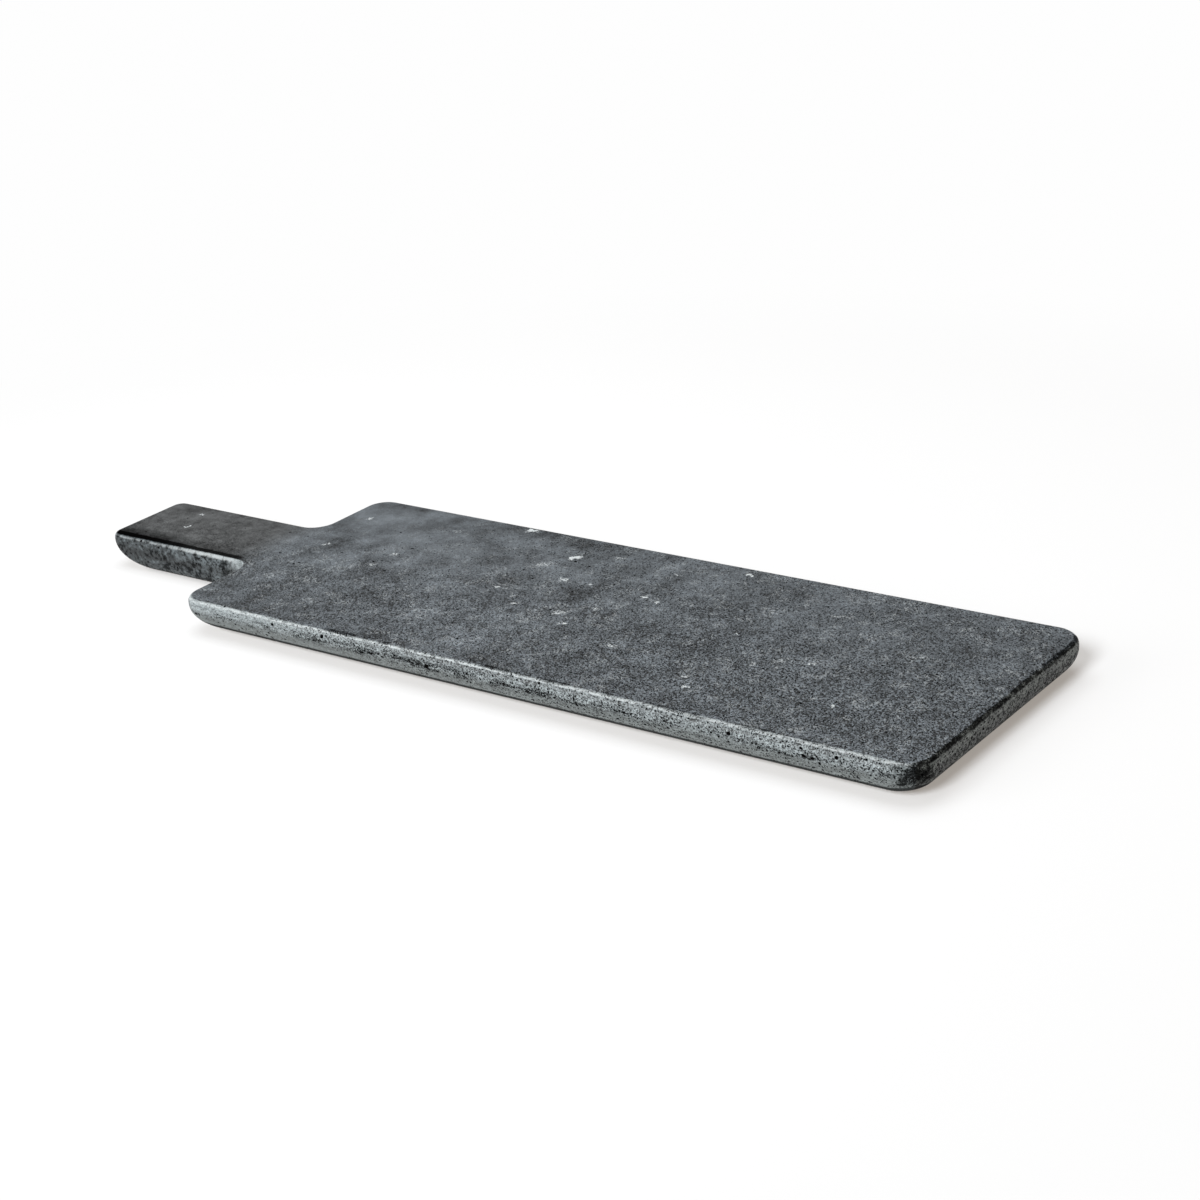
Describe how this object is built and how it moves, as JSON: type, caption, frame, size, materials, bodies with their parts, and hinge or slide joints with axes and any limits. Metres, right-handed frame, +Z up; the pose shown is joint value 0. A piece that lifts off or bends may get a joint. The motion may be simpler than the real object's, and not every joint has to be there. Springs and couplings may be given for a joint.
{
  "type": "tapas board",
  "caption": "Flat oblong serving board of dark grey stone with rounded corners, rolled edges and a short paddle handle, standing on small round rubber feet.",
  "frame": {"origin": "on the table top, under the middle of the board's whole length and width", "axes": "+X from the end of the handle to the far end of the body, +Y across the board away from the camera of the picture, +Z up"},
  "size_m": [0.5, 0.146, 0.0187],
  "materials": {
    "stone": "honed dark grey stone with fine grain, pale flecks and open pores",
    "foot_rubber": "matt dark grey rubber"
  },
  "bodies": {
    "root": {"slab": "stone", "foot_front_left": "foot_rubber", "foot_front_right": "foot_rubber", "foot_back_left": "foot_rubber", "foot_back_right": "foot_rubber"}
  },
  "joints": []
}
